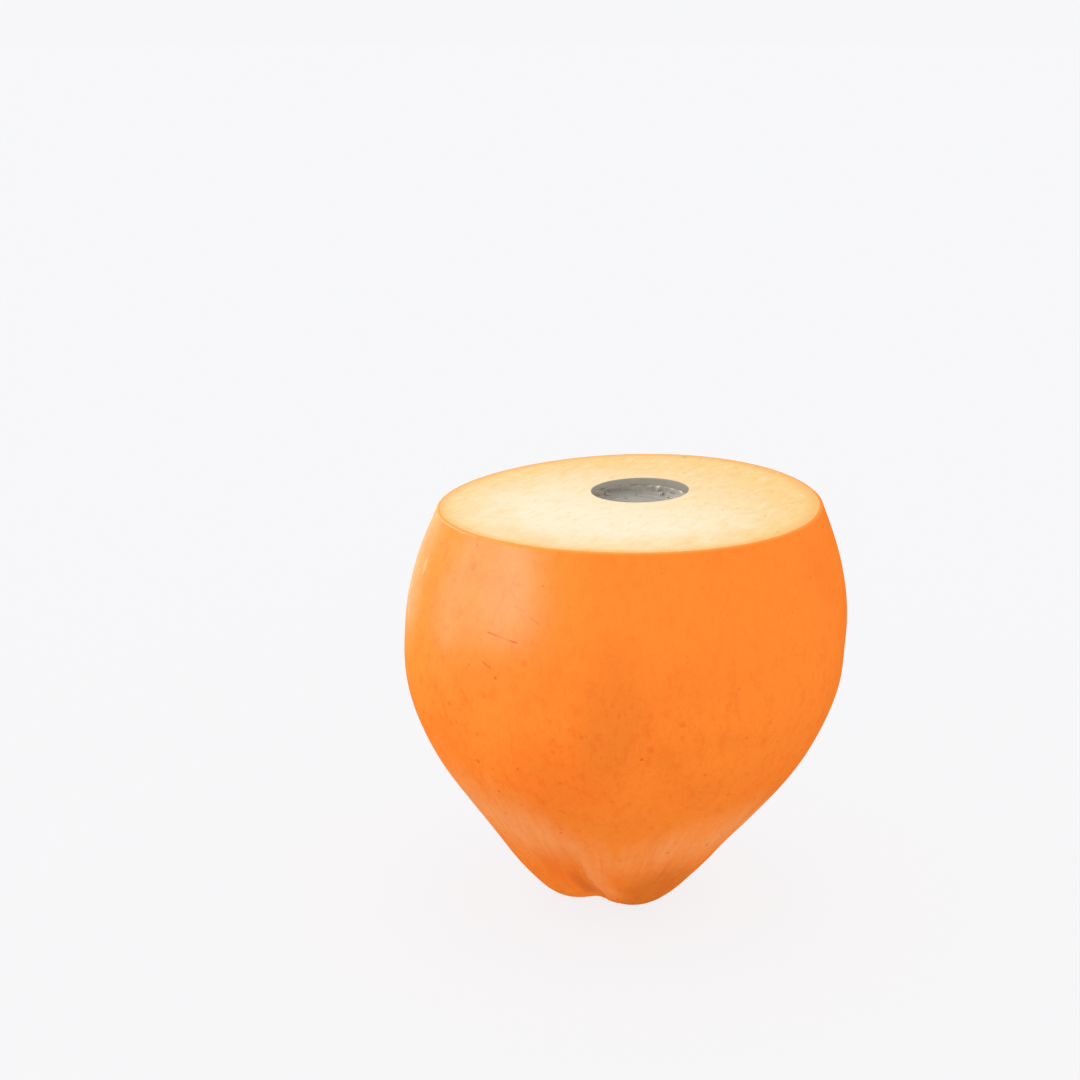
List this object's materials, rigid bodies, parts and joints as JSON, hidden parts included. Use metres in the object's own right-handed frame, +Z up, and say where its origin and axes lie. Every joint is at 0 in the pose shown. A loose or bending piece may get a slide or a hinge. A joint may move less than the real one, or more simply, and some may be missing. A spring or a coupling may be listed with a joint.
{
  "type": "king coconut",
  "caption": "Orange king coconut cut flat across the top, with a round drinking hole down through its shell to the coconut water, standing on the lobes of its tip.",
  "frame": {"origin": "middle of the bounding box's base, level with the small flats that the lobes of the tip stand on", "axes": "+Z up through the cut top, -Y towards the side with a lobe and a cleft low down on the left of it, +X to the right of that view"},
  "size_m": [0.1456, 0.1474, 0.14],
  "materials": {
    "orange_husk": "smooth waxy orange skin with a satin gloss; matt cream pulp with short fibres where it is cut",
    "hard_shell": "wet grey-brown shell",
    "coconut_water": "clear, slightly cloudy water with a still surface"
  },
  "bodies": {
    "root": {"husk": "orange_husk", "shell": "hard_shell", "coconut_water": "coconut_water"}
  },
  "joints": []
}
